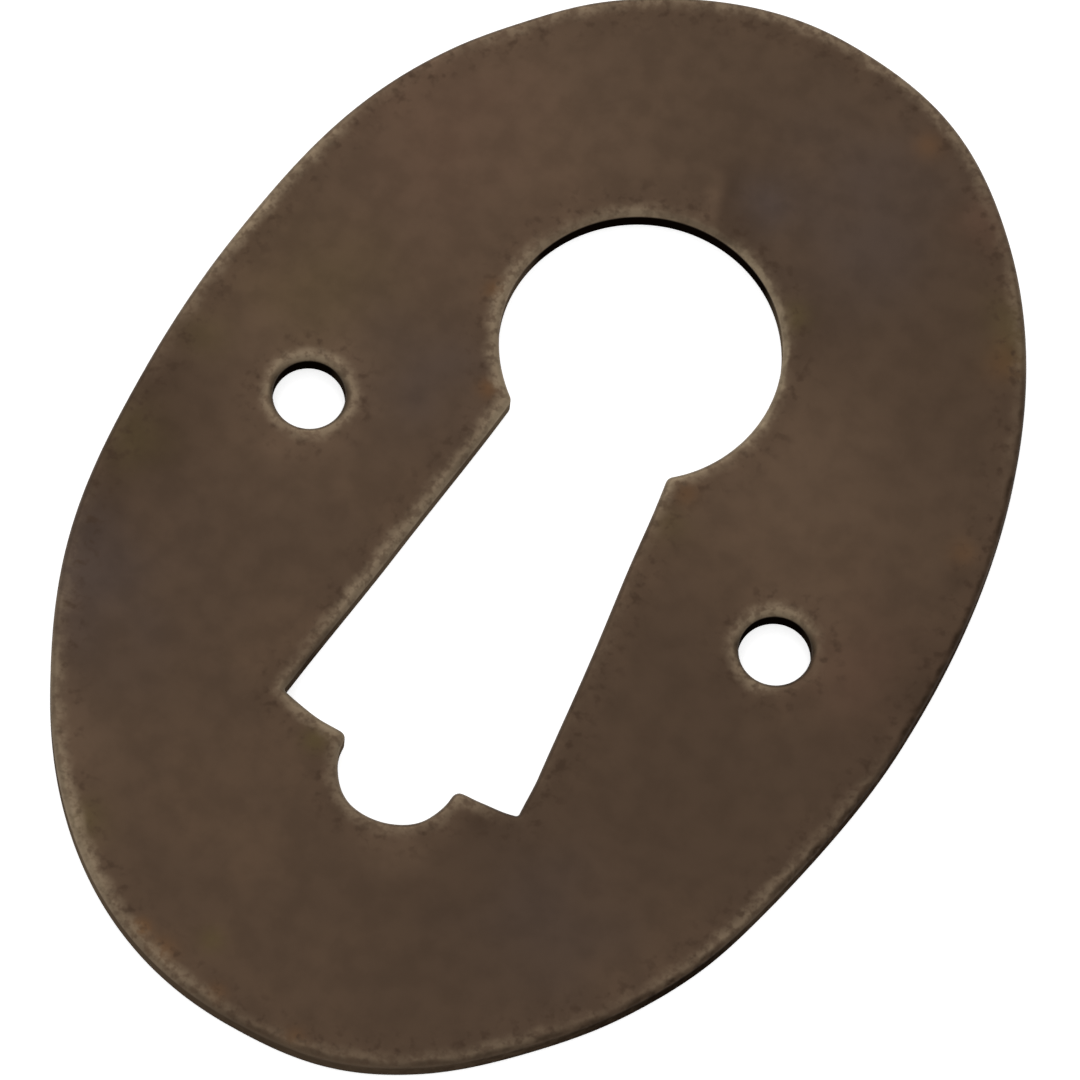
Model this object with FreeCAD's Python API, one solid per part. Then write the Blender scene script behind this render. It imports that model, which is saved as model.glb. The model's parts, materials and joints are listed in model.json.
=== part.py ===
import FreeCAD, Part
import math
import os

# Oval keyhole escutcheon for a drawer or cabinet door.
# One blank of thin sheet brass: an oval, pierced by a keyhole with a flared skirt and by two pin holes.
# Frame: the plate lies on its back. +Z comes out of the front, +Y runs up the oval towards the keyhole's
# round head, and the origin is the centre of the oval on the back face. Millimetres.

# The sheet, and the oval blanked out of it
plate_height = 38.0
plate_width = 26.4
sheet_thickness = 0.8
oval_fullness = 2.11  # exponent of the oval: 2 is a true ellipse, and more has fuller shoulders
oval_stations = 12  # places on the oval that its arcs run between

# The keyhole, punched about its own upright axis through the middle of the plate
head_diameter = 8.8  # takes the round of the key
head_height = 6.65  # centre of the head above the middle of the plate
skirt_width_at_head = 4.56  # the skirt's flared sides, carried up to the level of the head's centre
skirt_width_at_foot = 8.46  # the same sides, where they meet the foot
foot_reach = 15.95  # the foot is an arc of this radius about the centre of the head
notch_diameter = 3.8  # round notch, centred on the foot
keyhole_lean_deg = 1.65  # the punch stood this much anticlockwise of the oval
keyhole_offset = -0.06  # and this far to the side of its middle

# The pin holes, one each side of the keyhole
pin_hole_diameter = 2.25
pin_hole_spacing = 16.6

# Edges left by the punches and by the tumbling barrel
rolled_edge_radius = 0.2  # front edges, drawn down by the punch
back_edge_break = 0.06  # back edges, where the burr was taken off
nose_radius = 0.3  # corners of metal that point into the keyhole
inner_corner_radius = 0.1  # corners of the punch at the ends of the foot

UP = FreeCAD.Vector(0, 0, 1)
CENTRE = FreeCAD.Vector(0, 0, 0)
PUNCH_OVERRUN = 1.0  # how far each punch runs past both faces
SAME_PLACE = 1e-4  # lengths that differ by less than this are the same


def oval_point(turn):
    """Point of the oval at an eccentric angle, in radians."""
    across = math.cos(turn)
    along = math.sin(turn)
    swell = (abs(across) ** oval_fullness + abs(along) ** oval_fullness) ** (-1 / oval_fullness)
    return FreeCAD.Vector(plate_width / 2 * across * swell, plate_height / 2 * along * swell, 0)


def oval_heading(turn):
    """Direction of the oval's edge at an eccentric angle, going anticlockwise."""
    across = math.cos(turn)
    along = math.sin(turn)
    outward_x = math.copysign(abs(across) ** (oval_fullness - 1), across) / plate_width
    outward_y = math.copysign(abs(along) ** (oval_fullness - 1), along) / plate_height
    return FreeCAD.Vector(-outward_y, outward_x, 0).normalize()


def bulged_arc(start, end, half_turn):
    """An arc between two points that bulges to the right of its way and turns by twice half_turn."""
    way = end - start
    rightward = FreeCAD.Vector(way.y, -way.x, 0)
    middle = (start + end + rightward * math.tan(half_turn / 2)) * 0.5
    return Part.Arc(start, middle, end).toShape()


def oval_span(start_turn, end_turn):
    """Two arcs, tangent where they meet and to the oval at both ends, from one station to the next."""
    start, end = oval_point(start_turn), oval_point(end_turn)
    leaving, arriving = oval_heading(start_turn), oval_heading(end_turn)
    way = end - start
    forward = way.dot(leaving + arriving)
    spread = 2 * (1 - leaving.dot(arriving))
    handle = (math.sqrt(forward ** 2 + spread * way.dot(way)) - forward) / spread
    meeting = (start + end + (leaving - arriving) * handle) * 0.5
    return [
        bulged_arc(start, meeting, leaving.getAngle(meeting - start)),
        bulged_arc(meeting, end, arriving.getAngle(end - meeting)),
    ]


def oval_blank():
    """The plain blank, before it is pierced."""
    step = 2 * math.pi / oval_stations
    spans = [oval_span(n * step, (n + 1) * step) for n in range(oval_stations)]
    outline = Part.Wire([arc for span in spans for arc in span])
    return Part.Face(outline).extrude(UP * sheet_thickness)


def round_punch(diameter, x, y):
    """A round punch that stands through the sheet at x, y."""
    height = sheet_thickness + 2 * PUNCH_OVERRUN
    return Part.makeCylinder(diameter / 2, height, FreeCAD.Vector(x, y, -PUNCH_OVERRUN), UP)


def foot_drop():
    """Drop from the head's centre to the two ends of the foot, which lie on its arc."""
    return math.sqrt(foot_reach ** 2 - (skirt_width_at_foot / 2) ** 2)


def skirt_punch():
    """The flared skirt below the head's centre, closed by the arc of the foot."""
    def place(x, drop):
        return FreeCAD.Vector(x, head_height - drop, -PUNCH_OVERRUN)

    top_left = place(-skirt_width_at_head / 2, 0)
    top_right = place(skirt_width_at_head / 2, 0)
    foot_left = place(-skirt_width_at_foot / 2, foot_drop())
    foot_right = place(skirt_width_at_foot / 2, foot_drop())
    foot_middle = place(0, foot_reach)
    outline = Part.Wire([
        Part.makeLine(top_right, top_left),
        Part.makeLine(top_left, foot_left),
        Part.Arc(foot_left, foot_middle, foot_right).toShape(),
        Part.makeLine(foot_right, top_right),
    ])
    return Part.Face(outline).extrude(UP * (sheet_thickness + 2 * PUNCH_OVERRUN))


def is_foot_end(point):
    """Whether a corner of the punch is one of the two ends of the foot, where metal surrounds it."""
    return abs(abs(point.x) - skirt_width_at_foot / 2) < SAME_PLACE


def corner_edges(punch, at_foot_ends):
    """The punch's upright corners, either those at the ends of the foot or the noses between them."""
    found = []
    for edge in punch.Edges:
        low, high = edge.Vertexes[0].Point, edge.Vertexes[-1].Point
        is_upright = abs(abs(high.z - low.z) - edge.Length) < SAME_PLACE
        if is_upright and is_foot_end(low) == at_foot_ends:
            found.append(edge)
    return found


def keyhole_punch():
    """Head, skirt and notch as one punch, its corners eased, and set at its lean."""
    head = round_punch(head_diameter, 0, head_height)
    notch = round_punch(notch_diameter, 0, head_height - foot_reach)
    punch = head.fuse([skirt_punch(), notch]).removeSplitter()
    punch = punch.makeFillet(nose_radius, corner_edges(punch, at_foot_ends=False))
    punch = punch.makeFillet(inner_corner_radius, corner_edges(punch, at_foot_ends=True))
    punch.rotate(CENTRE, UP, keyhole_lean_deg)
    punch.translate(FreeCAD.Vector(keyhole_offset, 0, 0))
    return punch


def rim_edges(plate, level):
    """Every edge of the flat face at a height: the oval's rim and the rims of all the holes."""
    def at_level(z):
        return abs(z - level) < SAME_PLACE

    return [edge for edge in plate.Edges if at_level(edge.BoundBox.ZMin) and at_level(edge.BoundBox.ZMax)]


def escutcheon_plate():
    """The pierced plate with its edges rolled in front and broken behind."""
    pins = [round_punch(pin_hole_diameter, side * pin_hole_spacing / 2, 0) for side in (-1, 1)]
    plate = oval_blank().cut([keyhole_punch(), *pins])
    plate = plate.makeFillet(rolled_edge_radius, rim_edges(plate, sheet_thickness))
    return plate.makeChamfer(back_edge_break, rim_edges(plate, 0))


def export(name, shape):
    """Write one piece to its own STEP file, and say what it measures."""
    box = shape.optimalBoundingBox()
    shape.exportStep("parts/%s.step" % name)
    print("%s: %.2f x %.2f x %.2f mm, %d solid, %.1f mm3, valid %s" % (
        name, box.XLength, box.YLength, box.ZLength, len(shape.Solids), shape.Volume, shape.isValid()))


os.makedirs("parts", exist_ok=True)
export("escutcheon_plate", escutcheon_plate())
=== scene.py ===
import json
import logging
import math
from dataclasses import dataclass
from enum import Enum

import bpy
import numpy as np
from mathutils import Matrix, Vector, noise
from mathutils.geometry import delaunay_2d_cdt
from mathutils.kdtree import KDTree


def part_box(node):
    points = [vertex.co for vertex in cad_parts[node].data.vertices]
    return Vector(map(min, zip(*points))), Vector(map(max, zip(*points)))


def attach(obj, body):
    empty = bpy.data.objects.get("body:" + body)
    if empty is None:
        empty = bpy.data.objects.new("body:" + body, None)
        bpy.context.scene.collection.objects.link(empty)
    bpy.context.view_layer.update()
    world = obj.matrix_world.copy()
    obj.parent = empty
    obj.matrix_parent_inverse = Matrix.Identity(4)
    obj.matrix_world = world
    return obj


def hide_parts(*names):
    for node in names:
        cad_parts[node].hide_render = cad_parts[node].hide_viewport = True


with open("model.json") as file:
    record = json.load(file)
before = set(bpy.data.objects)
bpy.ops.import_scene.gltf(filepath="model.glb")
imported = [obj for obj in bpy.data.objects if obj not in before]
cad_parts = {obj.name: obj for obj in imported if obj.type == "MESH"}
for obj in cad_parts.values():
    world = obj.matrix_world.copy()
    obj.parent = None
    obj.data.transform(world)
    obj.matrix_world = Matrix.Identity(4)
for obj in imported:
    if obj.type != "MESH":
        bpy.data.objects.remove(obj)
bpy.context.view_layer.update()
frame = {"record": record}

# An oval keyhole escutcheon of thin aged brass, lying on its back on a pale studio floor.
# The plate is laid out in millimetres and its mesh is written in metres. On the plan, a point is a
# complex number: its real part runs across the plate, and its imaginary part runs up the oval.
log = logging.getLogger("escutcheon")

MM = 0.001
CAD_NODE = "escutcheon_plate"
BODY = "root"
RIM_STEP = 0.11  # spacing of the points along a rim
MIN_ARC_STEPS = 5
OVAL_SAMPLES = 7200  # turns tried while the oval's points are evened out

Colour = tuple[float, float, float, float]


def screen_colour(red: int, green: int, blue: int) -> Colour:
    """Turn a colour as a screen shows it, 0 to 255, into the linear values that a shader takes.

    Args:
        red: The red value.
        green: The green value.
        blue: The blue value.

    Returns:
        The linear colour, with an alpha of 1.
    """
    def linear(value: int) -> float:
        """One channel of it."""
        share = value / 255
        return share / 12.92 if share <= 0.04045 else ((share + 0.055) / 1.055) ** 2.4

    return linear(red), linear(green), linear(blue), 1.0


class Tint(Enum):
    """The cast that the metal shows in one place; some are patina and wear, some painted highlight and painted
    shade. The value names the mesh layer that holds it.
    """

    PALE = "pale"
    WARM = "warm"
    SLATE = "slate"
    DUSK = "dusk"
    OLIVE = "olive"
    RUST = "rust"
    # Wear, and painted highlight where the rolled edges would catch the light.
    WORN_AND_HIGHLIT = "worn_and_highlit"  # this and the three after it show along the rims only
    # Painted shade along the rims and walls that face away from the light.
    RIM_SHADE = "rim_shade"
    # Painted shade, near black, on the walls that face away from the light.
    WALL_SHADE = "wall_shade"
    # Brass rubbed through the patina, and painted highlight, on the rolled edges.
    BARE_AND_HIGHLIT = "bare_and_highlit"


class Side(Enum):
    """A face of the sheet. The value is the direction that it looks in, along Z."""

    FRONT = 1
    BACK = -1


@dataclass(frozen=True)
class Stain:
    """A soft patch where the colour leans towards one tint, which stands for patina, wear, painted highlight and
    painted shade, by the tint.

    Args:
        tint: The cast of the patch.
        middle: Its middle on the plan, in millimetres.
        reach: How far it spreads before it has faded to about a third, in millimetres.
        depth: Its strength in the middle, from 0 to 1.
    """

    tint: Tint
    middle: complex
    reach: float
    depth: float

    def weight(self, plan: np.ndarray, stray: np.ndarray) -> np.ndarray:
        """Say how strongly the stain shows at each point.

        Args:
            plan: Points on the plan.
            stray: How far the stain's edge strays at each, as a share of its reach.

        Returns:
            The strength at each of them.
        """
        away = abs((plan - self.middle) / self.reach + stray)
        return self.depth * np.exp(-away ** 2)


@dataclass(frozen=True)
class Dent:
    """A shallow hollow in the front.

    Args:
        middle: Its middle on the plan, in millimetres.
        reach: How far it spreads, in millimetres.
        depth: Its depth, in millimetres.
    """

    middle: complex
    reach: float
    depth: float

    def hollow(self, plan: np.ndarray) -> np.ndarray:
        """Say how deep the dent is at each point.

        Args:
            plan: Points on the plan.

        Returns:
            The depth at each of them.
        """
        return self.depth * np.exp(-(abs(plan - self.middle) / self.reach) ** 2)


@dataclass(frozen=True)
class Wander:
    """A stretch of the outer edge that was filed a little proud of the true oval, or inside it.

    Args:
        turn: Where on the oval its middle lies, in degrees of eccentric angle.
        reach: How far it runs to each side, in the same degrees.
        swell: How far the edge stands out there, in millimetres. Less than 0 is inside the oval.
    """

    turn: float
    reach: float
    swell: float

    def at(self, turns: np.ndarray) -> np.ndarray:
        """Give the edge's shift at each turn.

        Args:
            turns: Eccentric angles, in degrees.

        Returns:
            The shift outward at each, in millimetres.
        """
        away = abs((turns - self.turn + 180) % 360 - 180)
        return self.swell * np.where(away < self.reach, (1 + np.cos(np.pi * away / self.reach)) / 2, 0)


@dataclass(frozen=True)
class Stray:
    """A stretch where the punch cut a little off the keyhole's true line.

    Args:
        middle: Its middle on the plan, in millimetres.
        reach: How far it runs to each side.
        drift: How far the edge lies from its true place there, across and up the plate.
    """

    middle: complex
    reach: float
    drift: complex

    def at(self, plan: np.ndarray) -> np.ndarray:
        """Give the edge's shift at each point.

        Args:
            plan: Points on the plan.

        Returns:
            The shift of each, as a step on the plan.
        """
        away = abs(plan - self.middle)
        return self.drift * np.where(away < self.reach, (1 + np.cos(np.pi * away / self.reach)) / 2, 0)


@dataclass(frozen=True)
class Rim:
    """A closed edge of the sheet, followed with the metal on its left.

    Args:
        name: What the edge belongs to.
        points: Its points on the plan.
    """

    name: str
    points: np.ndarray

    def inward(self) -> np.ndarray:
        """Give the direction from each point into the metal.

        Returns:
            Unit steps on the plan.
        """
        way = np.roll(self.points, -1) - np.roll(self.points, 1)
        return 1j * way / abs(way)

    def holds(self, plan: np.ndarray) -> np.ndarray:
        """Test which points lie inside the closed line.

        Args:
            plan: Points on the plan.

        Returns:
            True for each point inside.
        """
        found = np.zeros(plan.shape, bool)
        for start, end in zip(self.points, np.roll(self.points, -1)):
            rise = end.imag - start.imag
            if rise == 0:
                continue
            beside = (start.imag > plan.imag) != (end.imag > plan.imag)
            crossing = start.real + (plan.imag - start.imag) / rise * (end.real - start.real)
            found ^= beside & (plan.real < crossing)
        return found


def arc(centre: complex, start: complex, end: complex) -> np.ndarray:
    """Follow a circle the short way round.

    Args:
        centre: The circle's centre.
        start: Where to begin, on the circle.
        end: Where to stop, on the circle.

    Returns:
        The points from start on, without end.
    """
    turn = np.angle((end - centre) / (start - centre))
    count = max(MIN_ARC_STEPS, math.ceil(abs(turn) * abs(start - centre) / RIM_STEP))
    return centre + (start - centre) * np.exp(1j * turn * np.arange(count) / count)


def straight(start: complex, end: complex) -> np.ndarray:
    """Follow a straight line.

    Args:
        start: Where to begin.
        end: Where to stop.

    Returns:
        The points from start on, without end.
    """
    count = math.ceil(abs(end - start) / RIM_STEP)
    return start + (end - start) * np.arange(count) / count


def reach_circle(start: complex, way: complex, radius: float) -> complex:
    """Go along a line from inside a circle about the origin until it is reached.

    Args:
        start: Where to begin.
        way: A unit step along the line.
        radius: The circle's radius.

    Returns:
        The point on the circle.
    """
    along = (start * way.conjugate()).real
    return start + way * (math.sqrt(along ** 2 + radius ** 2 - abs(start) ** 2) - along)


@dataclass(frozen=True)
class OvalBlank:
    """The oval outline of the sheet, a little fuller in the shoulders than an ellipse.

    Args:
        width: Across the plate, in millimetres.
        height: Up the plate, in millimetres.
        fullness: The outline's exponent, 2 for a true ellipse.
        filed_back: How far the whole edge was filed back, in millimetres.
        wanders: Where the filed edge leaves that line.
    """

    width: float
    height: float
    fullness: float = 2.11
    filed_back: float = 0.04
    wanders: tuple[Wander, ...] = (
        Wander(turn=70, reach=17, swell=0.10),
        Wander(turn=112, reach=22, swell=-0.12),
        Wander(turn=131, reach=9, swell=-0.05),
        Wander(turn=150, reach=20, swell=0.18),
        Wander(turn=203, reach=18, swell=0.14),
        Wander(turn=285, reach=15, swell=0.09),
        Wander(turn=308, reach=13, swell=-0.10),
        Wander(turn=328, reach=10, swell=0.05),
        Wander(turn=343, reach=15, swell=-0.09),
    )

    def rim(self) -> Rim:
        """Lay out the outline anticlockwise, with its points evenly spaced.

        Returns:
            The outer rim.
        """
        turns = np.linspace(0, 2 * np.pi, OVAL_SAMPLES, endpoint=False)
        across, along = np.cos(turns), np.sin(turns)
        swell = (abs(across) ** self.fullness + abs(along) ** self.fullness) ** (-1 / self.fullness)
        oval = Rim("oval", (self.width / 2 * across + 0.5j * self.height * along) * swell)
        shift = sum(wander.at(np.degrees(turns)) for wander in self.wanders) - self.filed_back
        line = oval.points - oval.inward() * shift
        closed = np.append(line, line[0])
        run = np.concatenate(([0], np.cumsum(abs(np.diff(closed)))))
        count = round(run[-1] / RIM_STEP)
        even = np.linspace(0, run[-1], count, endpoint=False)
        return Rim("oval", np.interp(even, run, closed.real) + 1j * np.interp(even, run, closed.imag))


@dataclass(frozen=True)
class KeyholePunch:
    """The keyhole: a round head over a flared skirt, with an arc for its foot and a round notch in that.

    Args:
        head: Centre of the round head on the plan, in millimetres.
        head_radius: Its radius.
        lean: How far the punch stood anticlockwise of the oval, in degrees.
        skirt_half_at_head: Half the skirt's width, carried up to the level of the head's centre.
        skirt_half_at_foot: Half its width where the sides meet the foot.
        foot_reach: Radius of the foot's arc about the head's centre.
        notch_radius: Radius of the notch, which is centred on the foot.
        nose_radius: Rounding of the metal that points into the hole.
        corner_radius: Rounding at the two ends of the foot.
        strays: Where the cut leaves its true line.
    """

    head: complex
    head_radius: float
    lean: float = 1.65
    skirt_half_at_head: float = 2.28
    skirt_half_at_foot: float = 4.23
    foot_reach: float = 15.95
    notch_radius: float = 1.9
    nose_radius: float = 0.3
    corner_radius: float = 0.1
    strays: tuple[Stray, ...] = (
        Stray(middle=-3.1 + 1.6j, reach=4.5, drift=0.08 - 0.06j),
        Stray(middle=-3.6 - 3.2j, reach=5.0, drift=0.06 - 0.02j),
        Stray(middle=-4.5 + 6.2j, reach=3.5, drift=-0.03 - 0.02j),
        Stray(middle=2.8 + 2.4j, reach=2.8, drift=0.05 + 0.04j),
        Stray(middle=4.3 - 8.6j, reach=6.5, drift=-0.13),
        Stray(middle=4.4 - 8.8j, reach=1.5, drift=-0.08 - 0.16j),
        Stray(middle=2.3 - 9.3j, reach=1.0, drift=0.12 + 0.11j),
        Stray(middle=1.9 - 10.1j, reach=1.3, drift=0.07 - 0.04j),
        Stray(middle=0.4 - 11.1j, reach=1.6, drift=0.08j),
        Stray(middle=-0.9 - 10.9j, reach=1.4, drift=0.03 + 0.02j),
        Stray(middle=-1.5 - 9.9j, reach=1.7, drift=0.06 + 0.12j),
        Stray(middle=-1.9 - 9.2j, reach=0.8, drift=0.05 + 0.03j),
    )

    def right_half(self) -> np.ndarray:
        """Follow the right side from the top of the head to the bottom of the notch.

        Returns:
            The points, about the head's centre and before the lean, without the last one.
        """
        foot_drop = math.sqrt(self.foot_reach ** 2 - self.skirt_half_at_foot ** 2)
        foot_end = complex(self.skirt_half_at_foot, -foot_drop)
        side_top = complex(self.skirt_half_at_head, 0)
        down = (foot_end - side_top) / abs(foot_end - side_top)
        to_metal = down * 1j
        notch = -1j * self.foot_reach
        neck_line = side_top + to_metal * self.nose_radius
        neck = reach_circle(neck_line, down, self.head_radius + self.nose_radius)
        corner_line = side_top - to_metal * self.corner_radius
        corner = reach_circle(corner_line, down, self.foot_reach - self.corner_radius)
        nose_reach = self.foot_reach + self.nose_radius
        notch_reach = self.notch_radius + self.nose_radius
        cosine = (nose_reach ** 2 + self.foot_reach ** 2 - notch_reach ** 2) / (2 * nose_reach * self.foot_reach)
        swing = math.acos(cosine)
        nose = -1j * nose_reach * complex(math.cos(swing), math.sin(swing))
        top = 1j * self.head_radius
        head_to_neck = self.head_radius * neck / abs(neck)
        neck_to_side = neck - to_metal * self.nose_radius
        side_to_corner = corner + to_metal * self.corner_radius
        corner_to_foot = self.foot_reach * corner / abs(corner)
        foot_to_nose = self.foot_reach * nose / abs(nose)
        nose_to_notch = notch + self.notch_radius * (nose - notch) / abs(nose - notch)
        bottom = notch - 1j * self.notch_radius
        return np.concatenate((
            arc(0, top, head_to_neck),
            arc(neck, head_to_neck, neck_to_side),
            straight(neck_to_side, side_to_corner),
            arc(corner, side_to_corner, corner_to_foot),
            arc(0, corner_to_foot, foot_to_nose),
            arc(nose, foot_to_nose, nose_to_notch),
            arc(notch, nose_to_notch, bottom),
        ))

    def rim(self) -> Rim:
        """Lay out the whole keyhole clockwise on the plate.

        Returns:
            The keyhole's rim.
        """
        right = self.right_half()
        bottom = -1j * (self.foot_reach + self.notch_radius)
        left = -right[:0:-1].conjugate()
        upright = np.concatenate((right, [bottom], left))
        line = self.head + upright * np.exp(1j * math.radians(self.lean))
        return Rim("keyhole", line + sum(stray.at(line) for stray in self.strays))


@dataclass(frozen=True)
class PinHole:
    """A round hole for a pin.

    Args:
        centre: Its centre on the plan, in millimetres.
        radius: Its radius.
    """

    centre: complex
    radius: float

    def rim(self) -> Rim:
        """Lay out the circle clockwise.

        Returns:
            The hole's rim.
        """
        count = math.ceil(2 * math.pi * self.radius / RIM_STEP)
        return Rim("pin hole", self.centre + self.radius * np.exp(-2j * np.pi * np.arange(count) / count))


@dataclass(frozen=True)
class EdgeSection:
    """The section of every edge, from the back face to the front one.

    Args:
        thickness: Of the sheet, in millimetres.
        roll: Radius that the punch and the tumbling barrel left in front.
        back_break: The small bevel where the burr was taken off behind.
        roll_steps: Facets round the roll.
        wall_steps: Facets up the wall.
        unevenness: How much the roll's radius varies along the edge, as a share of it.
        wall_ends: How far up the roll the look of the wall has gone, as a share of its rise.
        wall_fade: Over how much of its rise it goes.
    """

    thickness: float
    roll: float = 0.2
    back_break: float = 0.06
    roll_steps: int = 8
    wall_steps: int = 4
    unevenness: float = 0.18
    wall_ends: float = 0.75
    wall_fade: float = 0.75

    def profile(self) -> tuple[np.ndarray, np.ndarray]:
        """Lay out the section.

        Returns:
            How far in from the rim each row lies, and how high.
        """
        swing = np.linspace(0, np.pi / 2, self.roll_steps + 1)
        shoulder = self.thickness - self.roll
        wall = np.linspace(self.back_break, shoulder, self.wall_steps + 1)[:-1]
        inset = np.concatenate(([self.back_break], np.zeros(len(wall)), self.roll * (1 - np.cos(swing))))
        height = np.concatenate(([0.0], wall, shoulder + self.roll * np.sin(swing)))
        return inset, height

    def widest(self) -> float:
        """Give the furthest that the roll comes in from the rim, in millimetres."""
        return self.roll * (1 + self.unevenness)

    def is_wall(self, height: np.ndarray, gap: np.ndarray) -> np.ndarray:
        """Say how much of the punched wall shows at each point, and how much of the roll above it.

        Args:
            height: How high the points lie, in millimetres.
            gap: How far in from the nearest rim.

        Returns:
            1 on the wall, 0 on the faces and the top of the roll, and between them on its lower part.
        """
        risen = (height - self.thickness + self.roll) / self.roll
        return np.clip((self.wall_ends - risen) / self.wall_fade, 0, 1) * (gap < self.roll)


class SheetMesh:
    """The plate's mesh as it grows: its points on the plan, their heights, and its facets."""

    def __init__(self) -> None:
        """Start with nothing."""
        self.plan = np.zeros(0, complex)
        self.height = np.zeros(0)
        self.gap = np.zeros(0)
        self.facets: list[tuple[int, ...]] = []

    def add_points(self, plan: np.ndarray, height: np.ndarray, gap: np.ndarray) -> np.ndarray:
        """Add points.

        Args:
            plan: Where they lie on the plan.
            height: How high.
            gap: How far in from the nearest rim.

        Returns:
            Their numbers in the mesh.
        """
        first = len(self.plan)
        self.plan = np.concatenate((self.plan, plan))
        self.height = np.concatenate((self.height, height))
        self.gap = np.concatenate((self.gap, gap))
        return np.arange(first, len(self.plan))

    def add_edge(self, rim: Rim, section: EdgeSection) -> tuple[np.ndarray, np.ndarray]:
        """Sweep the edge's section round a rim.

        Args:
            rim: The edge to follow.
            section: The section to sweep.

        Returns:
            The numbers of the points on the back face, and of those on the front face.
        """
        inward = rim.inward()
        sway = np.array([noise.noise(Vector((p.real, p.imag, 0)) * 0.8) for p in rim.points])
        rows = []
        for inset, height in zip(*section.profile()):
            fade = max(0.0, (height - section.thickness + section.roll) / section.roll)
            gaps = inset * (1 + section.unevenness * sway * fade)
            rows.append(self.add_points(rim.points + inward * gaps, np.full(len(gaps), height), gaps))
        for low, high in zip(rows, rows[1:]):
            quads = np.column_stack((low, np.roll(low, -1), np.roll(high, -1), high))
            self.facets.extend(map(tuple, quads.tolist()))
        return rows[0], rows[-1]

    def add_face(self, side: Side, rings: list[np.ndarray], rims: list[Rim], section: EdgeSection,
                 grain: float) -> None:
        """Fill a face of the sheet with even triangles between its rims.

        Args:
            side: Which face it is.
            rings: The numbers of the points round the face, one array for each rim, the oval's first.
            rims: The rims that they belong to.
            section: The section of the edges round it.
            grain: Spacing of the points inside it.
        """
        ring = np.concatenate(rings)
        inner, gap = self.grid(rims, grain, section.widest())
        height = section.thickness if side is Side.FRONT else 0.0
        numbers = np.concatenate((ring, self.add_points(inner, np.full(len(inner), height), gap)))
        plan = self.plan[numbers]
        borders = []
        first = 0
        for each in rings:
            here = np.arange(first, first + len(each))
            borders.extend(zip(here.tolist(), np.roll(here, -1).tolist()))
            first += len(each)
        spots = [Vector((p.real, p.imag)) for p in plan]
        found = delaunay_2d_cdt(spots, borders, [], 1, 1e-7, True)
        source = [ids[0] for ids in found[3]]
        corners = np.array([[source[n] for n in face] for face in found[2]])
        middles = plan[corners].mean(axis=1)
        loops = [Rim(rim.name, self.plan[each]) for rim, each in zip(rims, rings)]
        kept = loops[0].holds(middles)
        for hole in loops[1:]:
            kept &= ~hole.holds(middles)
        corners = numbers[corners[kept]]
        a, b, c = (self.plan[corners[:, n]] for n in range(3))
        turned = ((b - a).conjugate() * (c - a)).imag * side.value < 0
        corners[turned] = corners[turned][:, ::-1]
        self.facets.extend(map(tuple, corners.tolist()))

    def grid(self, rims: list[Rim], grain: float, edge: float) -> tuple[np.ndarray, np.ndarray]:
        """Scatter points evenly over the metal, clear of its rims.

        Args:
            rims: The oval's rim, then those of the holes.
            grain: Spacing of the points.
            edge: How far in from the rims the edges come.

        Returns:
            The points on the plan, and how far in from the nearest rim each one lies.
        """
        outer = rims[0].points
        across = np.arange(outer.real.min(), outer.real.max(), grain)
        along = np.arange(outer.imag.min(), outer.imag.max(), grain * math.sqrt(3) / 2)
        shift = (np.arange(len(along)) % 2) * grain / 2
        spread = (across[None, :] + shift[:, None] + 1j * along[:, None]).ravel()
        inside = rims[0].holds(spread)
        for hole in rims[1:]:
            inside &= ~hole.holds(spread)
        spread = spread[inside]
        gap = gap_to_rims(spread, rims)
        clear = gap > edge + grain / 2
        return spread[clear], gap[clear]


def gap_to_rims(plan: np.ndarray, rims: list[Rim]) -> np.ndarray:
    """Measure how far each point lies from the nearest rim.

    Args:
        plan: Points on the plan.
        rims: The rims.

    Returns:
        The distances, in millimetres.
    """
    marks = np.concatenate([rim.points for rim in rims])
    tree = KDTree(len(marks))
    for number, mark in enumerate(marks):
        tree.insert((mark.real, mark.imag, 0), number)
    tree.balance()
    return np.array([tree.find((p.real, p.imag, 0))[2] for p in plan])


def stray_steps(plan: np.ndarray) -> np.ndarray:
    """Give each point a soft step of its own, by which the stains' edges stray.

    Args:
        plan: Points on the plan.

    Returns:
        The steps, each no longer than about 1.
    """
    steps = [noise.noise_vector(Vector((p.real, p.imag, 0)) * 0.6) for p in plan]
    return np.array([complex(step.x, step.y) for step in steps])


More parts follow.
